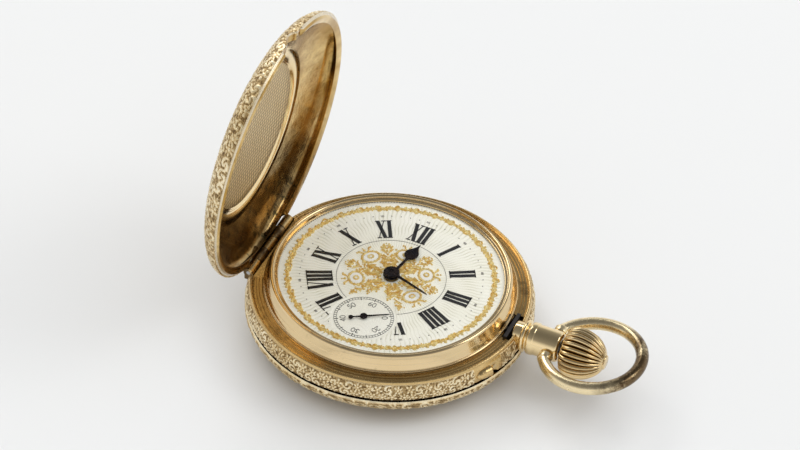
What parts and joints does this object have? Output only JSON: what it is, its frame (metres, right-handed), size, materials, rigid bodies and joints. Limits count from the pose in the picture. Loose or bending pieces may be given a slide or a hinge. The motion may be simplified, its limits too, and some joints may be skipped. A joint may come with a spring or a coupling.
{
  "type": "hunter pocket watch",
  "caption": "Hunter pocket watch with a hinged domed cover standing open over a Roman dial, a fluted crown, a swivelling bow and a lever movement inside.",
  "frame": {"origin": "centre of the rear cover's flat rest face", "axes": "+Z out of the dial, +X towards III, the pendant and the bow, +Y towards XII"},
  "size_m": [0.0749, 0.0496, 0.0564],
  "materials": {
    "mid_case": "engraved foliate, satin",
    "bezel": "polished rolled gold",
    "crystal": "clear",
    "pendant": "polished rolled gold",
    "front_hinge_pin": "polished",
    "rear_hinge_pin": "polished",
    "dust_cover_hinge_pin": "polished",
    "lift_spring": "blued, polished",
    "case_spring_screws": "polished",
    "main_plate": "gilt, fine matt",
    "dial": "silvered, engine turned, with applied gilt ornament",
    "barrel_bridge": "gilt nickel, damaskeened",
    "train_bridge": "gilt nickel, damaskeened",
    "balance_cock": "gilt nickel, damaskeened",
    "pallet_cock": "gilt nickel, damaskeened",
    "hairspring": "blued, polished",
    "regulator": "polished",
    "jewels": "polished ruby",
    "bridge_screws": "blued, polished",
    "pallet_cock_screws": "blued, polished",
    "case_screws": "blued, polished",
    "click_spring": "polished",
    "front_cover": "engraved foliate, satin",
    "rear_cover": "engraved foliate, satin",
    "dust_cover": "polished rolled gold",
    "bow": "polished rolled gold",
    "winding_stem": "polished",
    "winding_pinion": "polished",
    "clutch_wheel": "polished",
    "crown": "polished rolled gold",
    "crown_stem": "polished",
    "lock_spring": "blued, polished",
    "set_pin": "polished rolled gold",
    "setting_lever": "polished",
    "crown_wheel": "polished",
    "contrate_wheel": "polished",
    "crown_wheel_screw": "blued, polished",
    "ratchet_wheel": "polished",
    "ratchet_screw": "blued, polished",
    "barrel_arbor": "polished",
    "click": "polished",
    "barrel": "gilt, fine matt",
    "barrel_lid": "gilt, fine matt",
    "mainspring": "blued, polished",
    "centre_wheel": "gilt, fine matt",
    "third_wheel": "gilt, fine matt",
    "fourth_wheel": "gilt, fine matt",
    "seconds_hand": "blued, polished",
    "escape_wheel": "polished",
    "pallet_fork": "polished",
    "pallet_stones": "polished ruby",
    "balance_wheel": "gilt, fine matt",
    "balance_staff": "polished",
    "cannon_pinion": "polished",
    "minute_hand": "blued, polished",
    "minute_wheel": "gilt, fine matt",
    "hour_wheel": "gilt, fine matt",
    "hour_hand": "blued, polished"
  },
  "bodies": {
    "case": {"mid_case": "mid_case", "bezel": "bezel", "crystal": "crystal", "pendant": "pendant", "front_hinge_pin": "front_hinge_pin", "rear_hinge_pin": "rear_hinge_pin", "dust_cover_hinge_pin": "dust_cover_hinge_pin", "lift_spring": "lift_spring", "case_spring_screws": "case_spring_screws", "main_plate": "main_plate", "dial": "dial", "barrel_bridge": "barrel_bridge", "train_bridge": "train_bridge", "balance_cock": "balance_cock", "pallet_cock": "pallet_cock", "hairspring": "hairspring", "regulator": "regulator", "jewels": "jewels", "bridge_screws": "bridge_screws", "pallet_cock_screws": "pallet_cock_screws", "case_screws": "case_screws", "click_spring": "click_spring"},
    "front_cover": {"front_cover": "front_cover"},
    "rear_cover": {"rear_cover": "rear_cover"},
    "dust_cover": {"dust_cover": "dust_cover"},
    "bow": {"bow": "bow"},
    "winding_stem": {"winding_stem": "winding_stem", "winding_pinion": "winding_pinion", "clutch_wheel": "clutch_wheel"},
    "crown": {"crown": "crown", "crown_stem": "crown_stem"},
    "lock_spring": {"lock_spring": "lock_spring"},
    "set_pin": {"set_pin": "set_pin"},
    "setting_lever": {"setting_lever": "setting_lever"},
    "crown_wheel": {"crown_wheel": "crown_wheel", "contrate_wheel": "contrate_wheel", "crown_wheel_screw": "crown_wheel_screw"},
    "ratchet_wheel": {"ratchet_wheel": "ratchet_wheel", "ratchet_screw": "ratchet_screw", "barrel_arbor": "barrel_arbor"},
    "click": {"click": "click"},
    "barrel": {"barrel": "barrel", "barrel_lid": "barrel_lid", "mainspring": "mainspring"},
    "centre_wheel": {"centre_wheel": "centre_wheel"},
    "third_wheel": {"third_wheel": "third_wheel"},
    "fourth_wheel": {"fourth_wheel": "fourth_wheel", "seconds_hand": "seconds_hand"},
    "escape_wheel": {"escape_wheel": "escape_wheel"},
    "pallet_fork": {"pallet_fork": "pallet_fork", "pallet_stones": "pallet_stones"},
    "balance": {"balance_wheel": "balance_wheel", "balance_staff": "balance_staff"},
    "cannon_pinion": {"cannon_pinion": "cannon_pinion", "minute_hand": "minute_hand"},
    "minute_wheel": {"minute_wheel": "minute_wheel"},
    "hour_wheel": {"hour_wheel": "hour_wheel", "hour_hand": "hour_hand"}
  },
  "joints": [
    {"name": "front_cover_hinge", "type": "hinge", "parent": "case", "child": "front_cover", "pos_m": [-0.0233, 0, 0.0093], "axis": [0, 1, 0], "range_deg": [0, 85], "stiffness_Nm_per_rad": 0.002, "springref_deg": -68.75},
    {"name": "rear_cover_hinge", "type": "hinge", "parent": "case", "child": "rear_cover", "pos_m": [-0.0243, 0, 0.0056], "axis": [0, 1, 0], "range_deg": [0, 100]},
    {"name": "dust_cover_hinge", "type": "hinge", "parent": "case", "child": "dust_cover", "pos_m": [-0.0222, 0, 0.0043], "axis": [0, 1, 0], "range_deg": [0, 58]},
    {"name": "bow_pivot", "type": "hinge", "parent": "case", "child": "bow", "pos_m": [0.0302, 0, 0.0083], "axis": [0, -1, 0], "range_deg": [-90, 80]},
    {"name": "winding_spin", "type": "hinge", "parent": "case", "child": "winding_stem", "pos_m": [0.017, 0, 0.0083], "axis": [1, 0, 0], "continuous": true},
    {"name": "crown_push", "type": "slide", "parent": "winding_stem", "child": "crown", "axis": [-1, 0, 0], "range_m": [0, 0.0007], "stiffness_N_per_m": 1500, "springref_m": -0.0008},
    {"name": "lock_spring_release", "type": "slide", "parent": "case", "child": "lock_spring", "axis": [-1, 0, 0], "range_m": [0, 0.0004]},
    {"name": "set_pin_push", "type": "slide", "parent": "case", "child": "set_pin", "axis": [-0.9397, 0.342, 0], "range_m": [0, 0.0005], "stiffness_N_per_m": 800, "springref_m": -0.0005},
    {"name": "setting_lever_pivot", "type": "hinge", "parent": "case", "child": "setting_lever", "pos_m": [0.0164, -0.0056, 0.0075], "axis": [0, 0, 1], "range_deg": [0, 12]},
    {"name": "crown_wheel_spin", "type": "hinge", "parent": "case", "child": "crown_wheel", "pos_m": [0.012, 0, 0.0043], "axis": [0, 0, 1], "continuous": true},
    {"name": "ratchet_wheel_spin", "type": "hinge", "parent": "case", "child": "ratchet_wheel", "pos_m": [0.00479, 0.00901, 0.0043], "axis": [0, 0, 1], "continuous": true},
    {"name": "click_pivot", "type": "hinge", "parent": "case", "child": "click", "pos_m": [-0.003, 0.01351, 0.0043], "axis": [0, 0, 1], "range_deg": [0, 6]},
    {"name": "barrel_spin", "type": "hinge", "parent": "case", "child": "barrel", "pos_m": [0.00479, 0.00901, 0.0075], "axis": [0, 0, 1], "continuous": true},
    {"name": "centre_wheel_spin", "type": "hinge", "parent": "case", "child": "centre_wheel", "pos_m": [0, 0, 0.00615], "axis": [0, 0, 1], "continuous": true},
    {"name": "third_wheel_spin", "type": "hinge", "parent": "case", "child": "third_wheel", "pos_m": [0.00431, -0.00604, 0.0071], "axis": [0, 0, 1], "continuous": true},
    {"name": "seconds_spin", "type": "hinge", "parent": "case", "child": "fourth_wheel", "pos_m": [0, -0.0113, 0.0078], "axis": [0, 0, 1], "continuous": true},
    {"name": "escape_wheel_spin", "type": "hinge", "parent": "case", "child": "escape_wheel", "pos_m": [-0.00574, -0.00976, 0.0074], "axis": [0, 0, 1], "continuous": true},
    {"name": "pallet_fork_rock", "type": "hinge", "parent": "case", "child": "pallet_fork", "pos_m": [-0.00886, -0.00758, 0.0074], "axis": [0, 0, 1], "range_deg": [-5, 5]},
    {"name": "balance_swing", "type": "hinge", "parent": "case", "child": "balance", "pos_m": [-0.01229, -0.00517, 0.0063], "axis": [0, 0, 1], "range_deg": [-270, 270]},
    {"name": "minute_hand_spin", "type": "hinge", "parent": "case", "child": "cannon_pinion", "pos_m": [0, 0, 0.011], "axis": [0, 0, 1], "continuous": true},
    {"name": "minute_wheel_spin", "type": "hinge", "parent": "case", "child": "minute_wheel", "pos_m": [0.00376, 0.00137, 0.0104], "axis": [0, 0, 1], "continuous": true},
    {"name": "hour_hand_spin", "type": "hinge", "parent": "case", "child": "hour_wheel", "pos_m": [0, 0, 0.0107], "axis": [0, 0, 1], "continuous": true}
  ],
  "couplings": [
    {"joint": "dust_cover_hinge", "follows": "rear_cover_hinge", "ratio": 0.55},
    {"joint": "lock_spring_release", "follows": "crown_push", "ratio": 0.5},
    {"joint": "setting_lever_pivot", "follows": "set_pin_push", "rad_per_m": 349.07},
    {"joint": "crown_wheel_spin", "follows": "winding_spin", "ratio": 0.45714},
    {"joint": "ratchet_wheel_spin", "follows": "winding_spin", "ratio": -0.30476},
    {"joint": "third_wheel_spin", "follows": "seconds_spin", "ratio": -0.13333},
    {"joint": "centre_wheel_spin", "follows": "seconds_spin", "ratio": 0.016667},
    {"joint": "barrel_spin", "follows": "seconds_spin", "ratio": -0.0027778},
    {"joint": "escape_wheel_spin", "follows": "seconds_spin", "ratio": -10},
    {"joint": "minute_wheel_spin", "follows": "minute_hand_spin", "ratio": -0.33333},
    {"joint": "hour_hand_spin", "follows": "minute_hand_spin", "ratio": 0.083333}
  ]
}
